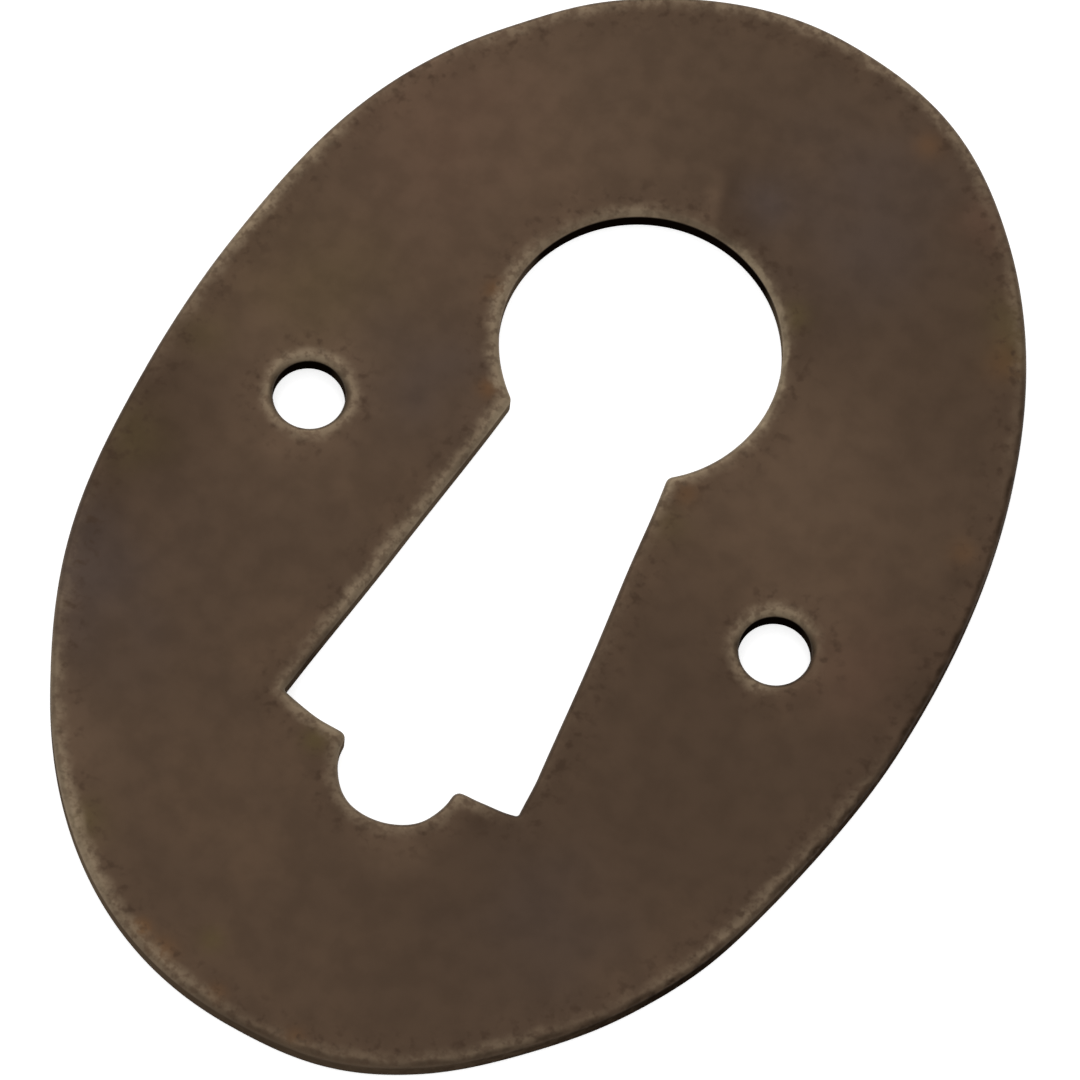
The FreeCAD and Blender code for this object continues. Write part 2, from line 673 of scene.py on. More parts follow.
class Recipe:
    """The nodes of one material, added step by step."""

    def __init__(self, name: str) -> None:
        """Start a material with its output and its surface shader.

        Args:
            name: The material's name.
        """
        self.material = bpy.data.materials.new(name)
        self.material.use_nodes = True
        self.tree = self.material.node_tree
        self.tree.nodes.clear()
        self.shader = self.add("ShaderNodeBsdfPrincipled")
        output = self.add("ShaderNodeOutputMaterial")
        self.tree.links.new(self.shader.outputs["BSDF"], output.inputs["Surface"])
        self.place = self.add("ShaderNodeTexCoord").outputs["Object"]

    def add(self, kind: str, **settings: object) -> bpy.types.Node:
        """Add a node.

        Args:
            kind: Its type.
            **settings: Properties of the node to set.

        Returns:
            The node.
        """
        node = self.tree.nodes.new(kind)
        for name, value in settings.items():
            setattr(node, name, value)
        return node

    def feed(self, socket: bpy.types.NodeSocket, value: object) -> None:
        """Link a socket to another one, or set it.

        Args:
            socket: The input.
            value: An output socket, or a plain value.
        """
        if isinstance(value, bpy.types.NodeSocket):
            self.tree.links.new(value, socket)
        else:
            socket.default_value = value

    def layer(self, name: str) -> bpy.types.NodeSocket:
        """Read a layer that the mesh carries.

        Args:
            name: The layer's name.

        Returns:
            Its value.
        """
        return self.add("ShaderNodeAttribute", attribute_name=name).outputs["Fac"]

    def grain(self, size: float, detail: float = 3, rough: float = 0.55, seed: float = 0,
              stretch: tuple[float, float, float] = (1, 1, 1), turn: float = 0) -> bpy.types.NodeSocket:
        """Make a field of soft noise.

        Args:
            size: Size of its largest features, in millimetres.
            detail: How many finer layers it has.
            rough: How strong those are.
            seed: Shift that gives it a pattern of its own.
            stretch: How many times longer the features are along each axis.
            turn: Turn of the pattern about Z, in degrees.

        Returns:
            The noise, from 0 to 1.
        """
        mapping = self.add("ShaderNodeMapping", vector_type="TEXTURE")
        self.feed(mapping.inputs["Vector"], self.place)
        mapping.inputs["Location"].default_value = (seed * MM, seed * MM, seed * MM)
        mapping.inputs["Rotation"].default_value = (0, 0, math.radians(turn))
        mapping.inputs["Scale"].default_value = stretch
        node = self.add("ShaderNodeTexNoise")
        self.feed(node.inputs["Vector"], mapping.outputs["Vector"])
        node.inputs["Scale"].default_value = 1 / (size * MM)
        node.inputs["Detail"].default_value = detail
        node.inputs["Roughness"].default_value = rough
        return node.outputs["Fac"]

    def band(self, value: object, low: float, high: float,
             to_low: float = 0, to_high: float = 1) -> bpy.types.NodeSocket:
        """Ease a value from one range into another.

        Args:
            value: The value to ease.
            low: Where the range begins.
            high: Where it ends.
            to_low: What the result is at low.
            to_high: What it is at high.

        Returns:
            The eased value, held at its ends.
        """
        node = self.add("ShaderNodeMapRange", interpolation_type="SMOOTHSTEP")
        given = {"Value": value, "From Min": low, "From Max": high, "To Min": to_low, "To Max": to_high}
        for name, each in given.items():
            self.feed(node.inputs[name], each)
        return node.outputs["Result"]

    def join(self, how: str, first: object, second: object) -> bpy.types.NodeSocket:
        """Join two values.

        Args:
            how: The operation.
            first: One value.
            second: The other.

        Returns:
            The result.
        """
        node = self.add("ShaderNodeMath", operation=how)
        self.feed(node.inputs[0], first)
        self.feed(node.inputs[1], second)
        return node.outputs["Value"]

    def tint(self, share: object, under: object, over: object, how: str = "MIX") -> bpy.types.NodeSocket:
        """Lay one colour over another.

        Args:
            share: How much of it shows.
            under: The colour below.
            over: The colour above.
            how: How the two are blended.

        Returns:
            The colour.
        """
        node = self.add("ShaderNodeMix", data_type="RGBA", blend_type=how)
        self.feed(node.inputs["Factor"], share)
        self.feed(node.inputs[6], under)
        self.feed(node.inputs[7], over)
        return node.outputs[2]


@dataclass(frozen=True)
class RimCoat:
    """A cast that lies along the rims only, where the stains of its tint are.

    Args:
        tint: Its tint.
        shade: Its colour.
        whole: How far in from the rim it lies whole, in millimetres.
        gone: How far in it has gone.
        broken: How much of it the grit breaks up, from 0 to 1.
        on_walls: How much of it lies on the punched walls, from 0 to 1.
    """

    tint: Tint
    shade: Colour
    whole: float
    gone: float
    broken: float
    on_walls: float


@dataclass(frozen=True)
class AgedBrassFinish:
    """Brass with a dark brown patina, satin, paler along its rolled edges from wear and painted highlight, with
    painted shade along some rims and walls.

    Args:
        ground: The patina's main colour.
        deep: The same where it lies thickest.
        tints: The colour of each cast that it takes.
        coats: What lies along the rims, the lowest first.
        wall: The punched walls.
        wall_shade: Painted shade, near black, on the walls that face away from the light.
        fleck: The dark flecks by the rims.
        sheen: Roughness of the smoothest and the dullest places.
        metal: How metallic the faces are.
    """

    ground: Colour = screen_colour(83, 66, 52)
    deep: Colour = screen_colour(75, 60, 48)
    tints: tuple[tuple[Tint, Colour], ...] = (
        (Tint.PALE, screen_colour(93, 75, 60)),
        (Tint.WARM, screen_colour(90, 67, 55)),
        (Tint.DUSK, screen_colour(67, 53, 42)),
        (Tint.SLATE, screen_colour(70, 60, 56)),
        (Tint.OLIVE, screen_colour(84, 73, 44)),
        (Tint.RUST, screen_colour(106, 74, 44)),
    )
    coats: tuple[RimCoat, ...] = (
        # Paler rolled edges: wear, and painted highlight on the rolls.
        RimCoat(Tint.WORN_AND_HIGHLIT, screen_colour(120, 104, 85), whole=0.12, gone=0.62, broken=0.6, on_walls=0.1),
        # Painted shade, dark, along the rolled edges and walls, mostly on the lower right.
        RimCoat(Tint.RIM_SHADE, screen_colour(47, 36, 27), whole=0.02, gone=0.24, broken=0.3, on_walls=1.0),
        # The palest rolled edges: brass rubbed through, and painted highlight on the rolls.
        RimCoat(Tint.BARE_AND_HIGHLIT, screen_colour(132, 117, 96), whole=0.04, gone=0.3, broken=0.25, on_walls=0.3),
    )
    wall: Colour = screen_colour(84, 70, 56)
    # Painted shade, near black, for the walls that face away from the light.
    wall_shade: Colour = screen_colour(12, 6, 3)
    fleck: Colour = screen_colour(60, 46, 36)
    sheen: tuple[float, float] = (0.45, 0.57)
    metal: float = 0.85

    def material(self) -> bpy.types.Material:
        """Make the material.

        Returns:
            The finished material.
        """
        recipe = Recipe("aged_brass")
        shader = recipe.shader.inputs
        gap = recipe.layer("rim_gap")
        wall = recipe.layer("wall")
        mottle = recipe.grain(size=0.8, detail=3, seed=17)
        colour = self.face_colour(recipe, mottle, gap)
        colour = recipe.tint(wall, colour, self.wall)
        colour = self.coat(recipe, colour, mottle, gap, wall)
        recipe.feed(shader["Base Color"], colour)
        recipe.feed(shader["Metallic"], recipe.band(wall, 0, 1, self.metal, 0.0))
        recipe.feed(shader["Roughness"], recipe.band(mottle, 0.3, 0.7, *self.sheen))
        shader["Specular IOR Level"].default_value = 0.0
        hairs = recipe.grain(size=0.12, detail=2, seed=29, stretch=(1, 30, 1), turn=24)
        bump = recipe.add("ShaderNodeBump")
        bump.inputs["Strength"].default_value = 0.2
        bump.inputs["Distance"].default_value = 0.01 * MM
        recipe.feed(bump.inputs["Height"], recipe.join("ADD", mottle, hairs))
        recipe.feed(shader["Normal"], bump.outputs["Normal"])
        return recipe.material

    def face_colour(self, recipe: Recipe, mottle: bpy.types.NodeSocket,
                    gap: bpy.types.NodeSocket) -> bpy.types.NodeSocket:
        """Lay the patina: its clouds, its stains, its soft patches, and the flecks by the rims.

        Args:
            recipe: The material's nodes.
            mottle: The fine unevenness of the patina.
            gap: How far in from the nearest rim.

        Returns:
            The colour.
        """
        clouds = recipe.grain(size=6.0, detail=3, seed=3)
        patches = recipe.grain(size=3.2, detail=2, rough=0.5, seed=11)
        flecks = recipe.grain(size=0.35, detail=2, seed=53)
        colour = recipe.tint(recipe.band(clouds, 0.3, 0.7), self.deep, self.ground)
        colour = recipe.tint(recipe.band(patches, 0.35, 0.7, 0.0, 0.75), colour, self.deep)
        colour = recipe.tint(recipe.band(mottle, 0.35, 0.7, 0.0, 0.28), colour, self.deep)
        for tint, shade in self.tints:
            colour = recipe.tint(recipe.layer(tint.value), colour, shade)
        near = recipe.band(gap, 1.6, 0.2, 0.0, 0.75)
        share = recipe.join("MULTIPLY", near, recipe.band(flecks, 0.5, 0.72))
        return recipe.tint(share, colour, self.fleck)

    def coat(self, recipe: Recipe, colour: bpy.types.NodeSocket, mottle: bpy.types.NodeSocket,
             gap: bpy.types.NodeSocket, wall: bpy.types.NodeSocket) -> bpy.types.NodeSocket:
        """Lay what shows along the rims over the patina, wear with painted highlight and painted shade, and then
        the near black painted shade over the walls.

        Args:
            recipe: The material's nodes.
            colour: The colour below.
            mottle: The fine unevenness, by which the coats' inner edges stray.
            gap: How far in from the nearest rim.
            wall: How much of the wall shows.

        Returns:
            The colour.
        """
        grit = recipe.grain(size=0.3, detail=2, rough=0.65, seed=41)
        strayed = recipe.join("ADD", gap, recipe.band(mottle, 0.3, 0.7, -0.07, 0.07))
        for coat in self.coats:
            share = recipe.band(strayed, coat.gone, coat.whole)
            share = recipe.join("MULTIPLY", share, recipe.layer(coat.tint.value))
            share = recipe.join("MULTIPLY", share, recipe.band(wall, 0.7, 1, 1, coat.on_walls))
            left = recipe.band(grit, 0.35, 0.6, 1 - coat.broken, 1 + coat.broken / 2)
            colour = recipe.tint(recipe.join("MULTIPLY", share, left), colour, coat.shade)
        # Painted shade, near black, on the lower part of the walls that face away from the light.
        wall_shading = recipe.join("MULTIPLY", recipe.band(wall, 0.3, 0.75), recipe.layer(Tint.WALL_SHADE.value))
        return recipe.tint(wall_shading, colour, self.wall_shade)


@dataclass(frozen=True)
class EscutcheonPlate:
    """The plate itself, one piece of sheet brass.

    Args:
        blank: Its oval outline.
        keyhole: The keyhole in it.
        pins: Its two pin holes.
        section: The section of its edges.
        finish: What it is finished in.
        stains: Where the patina leans towards a tint.
        drift: How far the stains' edges stray, as a share of their reach.
        dents: Shallow hollows in the front.
        front_grain: Spacing of the mesh on the front, in millimetres.
        back_grain: Spacing of the mesh on the back.
        ripple: Depth of the sheet's unevenness in front, in millimetres.
    """

    blank: OvalBlank
    keyhole: KeyholePunch
    pins: tuple[PinHole, ...]
    section: EdgeSection
    finish: AgedBrassFinish = AgedBrassFinish()
    stains: tuple[Stain, ...] = (
        # The broad pale patch at the upper left leaves the face paler towards the upper left.
        Stain(Tint.PALE, middle=-8.5 + 11.0j, reach=5.5, depth=0.5),
        Stain(Tint.PALE, middle=-9.0 - 1.5j, reach=3.0, depth=0.35),
        Stain(Tint.PALE, middle=6.0 + 5.5j, reach=3.0, depth=0.5),
        Stain(Tint.PALE, middle=-9.6 - 14.0j, reach=1.7, depth=0.95),
        Stain(Tint.PALE, middle=-6.4 - 16.9j, reach=1.0, depth=0.5),
        Stain(Tint.PALE, middle=1.3 - 11.5j, reach=1.1, depth=0.9),
        Stain(Tint.PALE, middle=2.6 - 9.6j, reach=0.8, depth=0.5),
        Stain(Tint.PALE, middle=-8.7 + 0.8j, reach=2.0, depth=0.85),
        Stain(Tint.PALE, middle=-8.3 - 2.1j, reach=0.5, depth=0.5),
        # Painted highlight down the left flank of the dent by the keyhole's head.
        Stain(Tint.PALE, middle=-0.8 + 12.8j, reach=0.35, depth=0.7),
        Stain(Tint.PALE, middle=-0.7 + 12.2j, reach=0.35, depth=0.9),
        Stain(Tint.PALE, middle=-0.5 + 11.6j, reach=0.35, depth=0.7),
        Stain(Tint.PALE, middle=8.2 + 0.9j, reach=1.7, depth=0.4),
        Stain(Tint.WARM, middle=-9.0 + 10.0j, reach=3.0, depth=0.3),
        Stain(Tint.WARM, middle=11.4 + 0.8j, reach=2.0, depth=0.4),
        Stain(Tint.WARM, middle=6.9 + 15.8j, reach=0.9, depth=0.5),
        Stain(Tint.DUSK, middle=4.5 + 14.0j, reach=5.0, depth=0.35),
        Stain(Tint.DUSK, middle=9.8 + 11.5j, reach=3.0, depth=0.3),
        Stain(Tint.DUSK, middle=5.8 - 1.5j, reach=2.5, depth=0.3),
        # Broad dusk patches at the lower right leave the face darker towards the lower right.
        Stain(Tint.DUSK, middle=4.5 - 11.0j, reach=4.5, depth=0.5),
        Stain(Tint.DUSK, middle=9.5 - 5.5j, reach=4.0, depth=0.4),
        # Darker down the dent beside it.
        Stain(Tint.DUSK, middle=-0.6 + 13.1j, reach=0.45, depth=0.6),
        Stain(Tint.DUSK, middle=-0.2 + 12.5j, reach=0.5, depth=0.7),
        Stain(Tint.DUSK, middle=0.0 + 12.0j, reach=0.5, depth=0.7),
        Stain(Tint.DUSK, middle=0.4 + 11.8j, reach=0.8, depth=0.4),
        Stain(Tint.DUSK, middle=0.4 + 10.9j, reach=0.7, depth=0.8),
        Stain(Tint.DUSK, middle=3.8 + 9.8j, reach=1.0, depth=0.5),
        Stain(Tint.DUSK, middle=-12.2 - 2.6j, reach=2.8, depth=0.55),
        Stain(Tint.DUSK, middle=-12.2 - 7.0j, reach=2.4, depth=0.6),
        Stain(Tint.DUSK, middle=-12.1 - 6.7j, reach=1.0, depth=1.0),
        Stain(Tint.DUSK, middle=-12.3 - 3.9j, reach=1.2, depth=0.8),
        Stain(Tint.DUSK, middle=12.1 + 4.9j, reach=0.6, depth=0.7),
        Stain(Tint.DUSK, middle=13.1 + 0.7j, reach=1.0, depth=0.6),
        Stain(Tint.DUSK, middle=-2.4 - 9.8j, reach=0.5, depth=0.5),
        Stain(Tint.DUSK, middle=3.4 - 9.5j, reach=0.5, depth=0.6),
        Stain(Tint.DUSK, middle=12.4 - 1.5j, reach=1.8, depth=0.35),
        Stain(Tint.DUSK, middle=13.0 + 2.5j, reach=2.0, depth=0.6),
        Stain(Tint.SLATE, middle=-11.3 - 9.0j, reach=2.6, depth=0.6),
        Stain(Tint.SLATE, middle=3.2 + 15.3j, reach=2.4, depth=0.4),
        Stain(Tint.SLATE, middle=4.3 + 12.5j, reach=1.8, depth=0.35),
        Stain(Tint.SLATE, middle=0.7 + 12.9j, reach=0.9, depth=0.6),
        Stain(Tint.SLATE, middle=-5.4 + 2.4j, reach=1.8, depth=0.4),
        Stain(Tint.SLATE, middle=6.8 - 11.3j, reach=2.4, depth=0.3),
        Stain(Tint.OLIVE, middle=-9.8 + 3.5j, reach=2.0, depth=0.2),
        Stain(Tint.OLIVE, middle=-12.2 - 3.9j, reach=1.0, depth=0.3),
        Stain(Tint.OLIVE, middle=-12.1 + 0.1j, reach=0.8, depth=0.25),
        Stain(Tint.OLIVE, middle=3.5 + 1.9j, reach=0.7, depth=0.25),
        Stain(Tint.OLIVE, middle=-7.2 - 15.9j, reach=0.8, depth=0.45),
        Stain(Tint.OLIVE, middle=-2.4 - 9.8j, reach=0.4, depth=0.5),
        Stain(Tint.OLIVE, middle=-1.8 - 17.0j, reach=0.4, depth=0.4),
        Stain(Tint.OLIVE, middle=3.4 + 10.0j, reach=0.5, depth=0.4),
        Stain(Tint.OLIVE, middle=9.5 + 13.0j, reach=1.0, depth=0.35),
        Stain(Tint.RUST, middle=-3.8 - 17.8j, reach=0.25, depth=0.7),
        Stain(Tint.RUST, middle=-2.9 - 18.1j, reach=0.4, depth=0.35),
        Stain(Tint.RUST, middle=-0.8 - 18.5j, reach=0.3, depth=0.3),
        Stain(Tint.RUST, middle=2.0 - 18.5j, reach=0.3, depth=0.3),
        Stain(Tint.RUST, middle=-3.6 + 2.9j, reach=0.3, depth=0.45),
        Stain(Tint.RUST, middle=-5.1 + 5.9j, reach=0.3, depth=0.35),
        Stain(Tint.RUST, middle=3.4 + 3.1j, reach=0.35, depth=0.3),
        Stain(Tint.RUST, middle=4.1 + 17.1j, reach=0.5, depth=0.3),
        Stain(Tint.RUST, middle=9.6 + 12.0j, reach=0.6, depth=0.25),
        Stain(Tint.RUST, middle=11.7 + 5.8j, reach=0.4, depth=0.25),
        # Where the paler rolled edges lie: wear, with painted highlight on the rolls.
        Stain(Tint.WORN_AND_HIGHLIT, middle=-1.0 + 18.7j, reach=4.5, depth=0.65),
        Stain(Tint.WORN_AND_HIGHLIT, middle=-8.0 + 15.2j, reach=3.2, depth=0.5),
        Stain(Tint.WORN_AND_HIGHLIT, middle=-12.6 + 5.2j, reach=3.6, depth=0.9),
        Stain(Tint.WORN_AND_HIGHLIT, middle=-11.8 - 9.0j, reach=3.0, depth=0.1),
        Stain(Tint.WORN_AND_HIGHLIT, middle=-7.8 - 15.5j, reach=4.2, depth=0.8),
        Stain(Tint.WORN_AND_HIGHLIT, middle=4.0 - 18.2j, reach=4.5, depth=0.3),
        Stain(Tint.WORN_AND_HIGHLIT, middle=11.8 - 8.5j, reach=3.4, depth=0.65),
        Stain(Tint.WORN_AND_HIGHLIT, middle=8.0 - 15.0j, reach=2.6, depth=0.35),
        Stain(Tint.WORN_AND_HIGHLIT, middle=13.4 - 3.0j, reach=1.6, depth=0.35),
        Stain(Tint.WORN_AND_HIGHLIT, middle=-2.6 - 18.5j, reach=2.4, depth=0.45),
        Stain(Tint.WORN_AND_HIGHLIT, middle=5.0 + 17.6j, reach=2.8, depth=0.4),
        Stain(Tint.WORN_AND_HIGHLIT, middle=9.4 + 14.0j, reach=2.4, depth=0.35),
        Stain(Tint.WORN_AND_HIGHLIT, middle=11.5 + 10.0j, reach=1.6, depth=0.15),
        Stain(Tint.WORN_AND_HIGHLIT, middle=-4.5 + 5.5j, reach=3.2, depth=0.65),
        Stain(Tint.WORN_AND_HIGHLIT, middle=-2.9 + 10.3j, reach=1.6, depth=0.3),
        Stain(Tint.WORN_AND_HIGHLIT, middle=-3.5 - 2.5j, reach=5.5, depth=0.7),
        Stain(Tint.WORN_AND_HIGHLIT, middle=-2.9 + 3.2j, reach=1.4, depth=0.7),
        Stain(Tint.WORN_AND_HIGHLIT, middle=-3.8 - 5.8j, reach=2.0, depth=0.35),
        Stain(Tint.WORN_AND_HIGHLIT, middle=-3.0 - 9.1j, reach=1.3, depth=0.6),
        Stain(Tint.WORN_AND_HIGHLIT, middle=0.0 - 11.2j, reach=2.0, depth=0.5),
        Stain(Tint.WORN_AND_HIGHLIT, middle=2.4 - 9.2j, reach=1.0, depth=0.45),
        Stain(Tint.WORN_AND_HIGHLIT, middle=2.8 + 3.2j, reach=1.2, depth=0.6),
        Stain(Tint.WORN_AND_HIGHLIT, middle=4.0 + 5.8j, reach=1.6, depth=0.5),
        Stain(Tint.WORN_AND_HIGHLIT, middle=3.0 + 9.5j, reach=1.9, depth=0.2),
        Stain(Tint.WORN_AND_HIGHLIT, middle=1.6 + 10.6j, reach=1.0, depth=0.3),
        Stain(Tint.WORN_AND_HIGHLIT, middle=-8.9 + 0.5j, reach=1.9, depth=0.8),
        Stain(Tint.WORN_AND_HIGHLIT, middle=7.9 + 1.1j, reach=1.4, depth=1.0),
        Stain(Tint.WORN_AND_HIGHLIT, middle=7.9 - 1.1j, reach=1.1, depth=0.65),
        # Where the painted shade along the rims lies: down the right and lower side, by the pin holes and down
        # the keyhole's left side.
        Stain(Tint.RIM_SHADE, middle=11.2 + 9.5j, reach=4.0, depth=0.8),
        Stain(Tint.RIM_SHADE, middle=13.1 + 2.0j, reach=4.0, depth=1.0),
        Stain(Tint.RIM_SHADE, middle=12.9 - 3.5j, reach=3.0, depth=1.0),
        Stain(Tint.RIM_SHADE, middle=11.0 - 10.5j, reach=4.5, depth=0.9),
        Stain(Tint.RIM_SHADE, middle=7.0 - 16.0j, reach=3.5, depth=0.5),
        Stain(Tint.RIM_SHADE, middle=0.8 - 18.9j, reach=4.0, depth=0.45),
        Stain(Tint.RIM_SHADE, middle=-9.4 - 14.2j, reach=1.9, depth=0.5),
        Stain(Tint.RIM_SHADE, middle=-3.9 - 8.2j, reach=1.7, depth=0.6),
        Stain(Tint.RIM_SHADE, middle=-4.0 - 6.5j, reach=2.4, depth=0.45),
        Stain(Tint.RIM_SHADE, middle=-3.2 + 1.2j, reach=2.0, depth=0.35),
        Stain(Tint.RIM_SHADE, middle=7.2 - 0.5j, reach=0.5, depth=0.8),
        Stain(Tint.RIM_SHADE, middle=-9.4 - 0.2j, reach=0.9, depth=0.9),
        Stain(Tint.RIM_SHADE, middle=-7.2 + 0.4j, reach=0.9, depth=0.9),
        Stain(Tint.RIM_SHADE, middle=9.3 + 0.5j, reach=0.7, depth=0.4),
        # Where the near black painted shade on the walls lies: round the keyhole's head, in the pin holes and on
        # the outer wall at the lower right.
        Stain(Tint.WALL_SHADE, middle=-2.2 + 10.5j, reach=3.0, depth=1.1),
        Stain(Tint.WALL_SHADE, middle=0.6 + 11.0j, reach=1.8, depth=0.8),
        Stain(Tint.WALL_SHADE, middle=1.8 + 10.6j, reach=1.2, depth=0.8),
        Stain(Tint.WALL_SHADE, middle=-4.4 + 8.3j, reach=1.8, depth=0.9),
        Stain(Tint.WALL_SHADE, middle=-8.8 + 1.0j, reach=2.0, depth=1.2),
        Stain(Tint.WALL_SHADE, middle=7.7 + 1.0j, reach=2.2, depth=1.3),
        Stain(Tint.WALL_SHADE, middle=11.2 - 10.8j, reach=3.0, depth=0.7),
        # Where the palest rolled edges lie: brass rubbed through, with painted highlight on the rolls.
        Stain(Tint.BARE_AND_HIGHLIT, middle=3.2 + 9.3j, reach=1.6, depth=1.1),
        Stain(Tint.BARE_AND_HIGHLIT, middle=1.6 + 10.6j, reach=1.2, depth=1.0),
        Stain(Tint.BARE_AND_HIGHLIT, middle=0.3 + 11.0j, reach=0.9, depth=0.2),
        Stain(Tint.BARE_AND_HIGHLIT, middle=-2.4 + 10.4j, reach=1.7, depth=0.45),
        Stain(Tint.BARE_AND_HIGHLIT, middle=-4.4 + 8.3j, reach=1.2, depth=0.25),
        Stain(Tint.BARE_AND_HIGHLIT, middle=-8.8 + 1.0j, reach=1.2, depth=0.3),
        Stain(Tint.BARE_AND_HIGHLIT, middle=7.8 + 1.0j, reach=1.3, depth=0.5),
        Stain(Tint.BARE_AND_HIGHLIT, middle=-2.9 + 3.0j, reach=1.3, depth=1.1),
        Stain(Tint.BARE_AND_HIGHLIT, middle=-4.7 + 6.0j, reach=2.0, depth=0.15),
        Stain(Tint.BARE_AND_HIGHLIT, middle=4.0 + 6.5j, reach=2.4, depth=1.0),
        Stain(Tint.BARE_AND_HIGHLIT, middle=2.8 + 3.2j, reach=0.9, depth=0.5),
        Stain(Tint.BARE_AND_HIGHLIT, middle=-3.2 - 9.1j, reach=0.9, depth=0.55),
        Stain(Tint.BARE_AND_HIGHLIT, middle=-2.0 - 9.4j, reach=0.8, depth=0.5),
        Stain(Tint.BARE_AND_HIGHLIT, middle=-6.4 - 16.8j, reach=2.0, depth=0.5),
        Stain(Tint.BARE_AND_HIGHLIT, middle=-3.4 - 2.0j, reach=4.0, depth=0.3),
        Stain(Tint.BARE_AND_HIGHLIT, middle=-9.2 - 14.0j, reach=3.5, depth=0.4),
        Stain(Tint.BARE_AND_HIGHLIT, middle=-12.8 + 4.5j, reach=3.5, depth=0.35),
    )
    drift: float = 0.4
    dents: tuple[Dent, ...] = (
        Dent(middle=-0.2 + 13.0j, reach=0.6, depth=0.035),
        Dent(middle=-0.9 + 11.6j, reach=0.3, depth=0.03),
    )
    front_grain: float = 0.2
    back_grain: float = 0.5
    ripple: float = 0.02

    def rims(self) -> list[Rim]:
        """List the plate's edges, the oval's first."""
        return [self.blank.rim(), self.keyhole.rim(), *(pin.rim() for pin in self.pins)]

    def build(self) -> bpy.types.Object:
        """Build the plate's mesh with the layers that its finish reads.

        Returns:
            The plate.
        """
        sheet = SheetMesh()
        rims = self.rims()
        backs, fronts = zip(*(sheet.add_edge(rim, self.section) for rim in rims))
        sheet.add_face(Side.FRONT, list(fronts), rims, self.section, self.front_grain)
        sheet.add_face(Side.BACK, list(backs), rims, self.section, self.back_grain)
        level = sheet.height / self.section.thickness
        height = sheet.height - level * self.hollows(sheet.plan)
        points = np.column_stack((sheet.plan.real, sheet.plan.imag, height)) * MM
        mesh = bpy.data.meshes.new("escutcheon_plate_finished")
        mesh.from_pydata(points.tolist(), [], sheet.facets)
        mesh.shade_smooth()
        mesh.set_sharp_from_angle(angle=math.radians(35))
        layers = {"rim_gap": sheet.gap, "wall": self.section.is_wall(sheet.height, sheet.gap)}
        stray = self.drift * stray_steps(sheet.plan)
        for tint in Tint:
            laid = sum(stain.weight(sheet.plan, stray) for stain in self.stains if stain.tint is tint)
            layers[tint.value] = np.minimum(laid, 1)
        for name, values in layers.items():
            layer = mesh.attributes.new(name, "FLOAT", "POINT")
            layer.data.foreach_set("value", np.asarray(values, np.float32))
        plate = bpy.data.objects.new("escutcheon_plate_finished", mesh)
        bpy.context.scene.collection.objects.link(plate)
        return plate

    def hollows(self, plan: np.ndarray) -> np.ndarray:
        """Say how far the face, rubbed down in places, lies below the sheet's full thickness.

        Args:
            plan: Points on the plan.

        Returns:
            The depth at each, in millimetres, never below 0.
        """
        waves = np.array([noise.noise(Vector((p.real, p.imag, 0)) * 0.22) for p in plan])
        return self.ripple * (0.5 + 0.5 * waves) + sum(dent.hollow(plan) for dent in self.dents)

    def dress(self, plate: bpy.types.Object) -> None:
        """Give the plate its finish, and stand it in for the plain solid.

        Args:
            plate: The plate.
        """
        plate.data.materials.append(self.finish.material())
        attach(plate, BODY)
        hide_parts(CAD_NODE)


